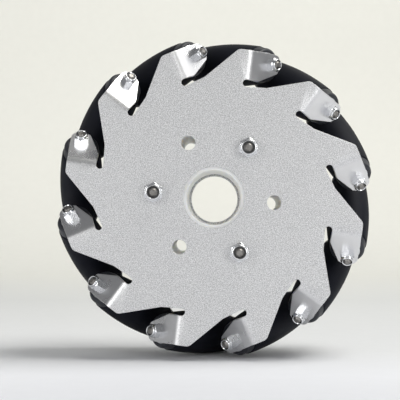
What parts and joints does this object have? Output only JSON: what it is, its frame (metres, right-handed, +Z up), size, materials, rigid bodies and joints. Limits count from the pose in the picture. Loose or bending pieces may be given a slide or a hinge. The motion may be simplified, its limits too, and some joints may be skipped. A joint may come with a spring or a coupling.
{
  "type": "mecanum wheel",
  "caption": "Mecanum wheel: free barrel rollers on 45 degree axles between two bent aluminium plates, with a bored nylon hub and bolt holes for a drive flange.",
  "frame": {"origin": "middle of the wheel, on its axis, halfway between the two plates", "axes": "+Y along the wheel's axis, from the front (nut) side to the rear (bolt head) side; +Z up; +X to the right as seen from the front; the first roller stands 7 degrees clockwise of the top, seen from the front"},
  "size_m": [0.203, 0.0907, 0.203],
  "materials": {
    "blasted_aluminium": "bead-blasted, clear anodised satin",
    "white_nylon": "turned white nylon",
    "zinc_steel": "bright zinc plating",
    "insert_nylon": "dark nylon lock ring",
    "bearing_steel": "ground bearing steel",
    "tread_rubber": "smooth moulded black rubber",
    "core_nylon": "moulded dark grey nylon"
  },
  "bodies": {
    "root": {"front_plate": "blasted_aluminium", "rear_plate": "blasted_aluminium", "hub_spacer": "white_nylon", "through_bolts": "zinc_steel", "through_washers": "zinc_steel", "through_nuts": "zinc_steel", "through_nut_inserts": "insert_nylon", "axle_bolts": "zinc_steel", "axle_washers": "zinc_steel", "axle_nuts": "zinc_steel", "axle_nut_inserts": "insert_nylon", "axle_shims": "bearing_steel", "bearing_inner_rings": "bearing_steel"},
    "roller_01": {"roller_01_tread": "tread_rubber", "roller_01_core": "core_nylon", "roller_01_bearings": "bearing_steel"},
    "roller_02": {"roller_02_tread": "tread_rubber", "roller_02_core": "core_nylon", "roller_02_bearings": "bearing_steel"},
    "roller_03": {"roller_03_tread": "tread_rubber", "roller_03_core": "core_nylon", "roller_03_bearings": "bearing_steel"},
    "roller_04": {"roller_04_tread": "tread_rubber", "roller_04_core": "core_nylon", "roller_04_bearings": "bearing_steel"},
    "roller_05": {"roller_05_tread": "tread_rubber", "roller_05_core": "core_nylon", "roller_05_bearings": "bearing_steel"},
    "roller_06": {"roller_06_tread": "tread_rubber", "roller_06_core": "core_nylon", "roller_06_bearings": "bearing_steel"},
    "roller_07": {"roller_07_tread": "tread_rubber", "roller_07_core": "core_nylon", "roller_07_bearings": "bearing_steel"},
    "roller_08": {"roller_08_tread": "tread_rubber", "roller_08_core": "core_nylon", "roller_08_bearings": "bearing_steel"},
    "roller_09": {"roller_09_tread": "tread_rubber", "roller_09_core": "core_nylon", "roller_09_bearings": "bearing_steel"},
    "roller_10": {"roller_10_tread": "tread_rubber", "roller_10_core": "core_nylon", "roller_10_bearings": "bearing_steel"},
    "roller_11": {"roller_11_tread": "tread_rubber", "roller_11_core": "core_nylon", "roller_11_bearings": "bearing_steel"},
    "roller_12": {"roller_12_tread": "tread_rubber", "roller_12_core": "core_nylon", "roller_12_bearings": "bearing_steel"}
  },
  "joints": [
    {"name": "roller_01_spin", "type": "hinge", "parent": "root", "child": "roller_01", "pos_m": [0.01069, 0, 0.08705], "axis": [0.7018, -0.7071, -0.0862], "continuous": true},
    {"name": "roller_02_spin", "type": "hinge", "parent": "root", "child": "roller_02", "pos_m": [0.05278, 0, 0.07004], "axis": [0.5647, -0.7071, -0.4255], "continuous": true},
    {"name": "roller_03_spin", "type": "hinge", "parent": "root", "child": "roller_03", "pos_m": [0.08073, 0, 0.03427], "axis": [0.2763, -0.7071, -0.6509], "continuous": true},
    {"name": "roller_04_spin", "type": "hinge", "parent": "root", "child": "roller_04", "pos_m": [0.08705, 0, -0.01069], "axis": [-0.0862, -0.7071, -0.7018], "continuous": true},
    {"name": "roller_05_spin", "type": "hinge", "parent": "root", "child": "roller_05", "pos_m": [0.07004, 0, -0.05278], "axis": [-0.4255, -0.7071, -0.5647], "continuous": true},
    {"name": "roller_06_spin", "type": "hinge", "parent": "root", "child": "roller_06", "pos_m": [0.03427, 0, -0.08073], "axis": [-0.6509, -0.7071, -0.2763], "continuous": true},
    {"name": "roller_07_spin", "type": "hinge", "parent": "root", "child": "roller_07", "pos_m": [-0.01069, 0, -0.08705], "axis": [-0.7018, -0.7071, 0.0862], "continuous": true},
    {"name": "roller_08_spin", "type": "hinge", "parent": "root", "child": "roller_08", "pos_m": [-0.05278, 0, -0.07004], "axis": [-0.5647, -0.7071, 0.4255], "continuous": true},
    {"name": "roller_09_spin", "type": "hinge", "parent": "root", "child": "roller_09", "pos_m": [-0.08073, 0, -0.03427], "axis": [-0.2763, -0.7071, 0.6509], "continuous": true},
    {"name": "roller_10_spin", "type": "hinge", "parent": "root", "child": "roller_10", "pos_m": [-0.08705, 0, 0.01069], "axis": [0.0862, -0.7071, 0.7018], "continuous": true},
    {"name": "roller_11_spin", "type": "hinge", "parent": "root", "child": "roller_11", "pos_m": [-0.07004, 0, 0.05278], "axis": [0.4255, -0.7071, 0.5647], "continuous": true},
    {"name": "roller_12_spin", "type": "hinge", "parent": "root", "child": "roller_12", "pos_m": [-0.03427, 0, 0.08073], "axis": [0.6509, -0.7071, 0.2763], "continuous": true}
  ]
}
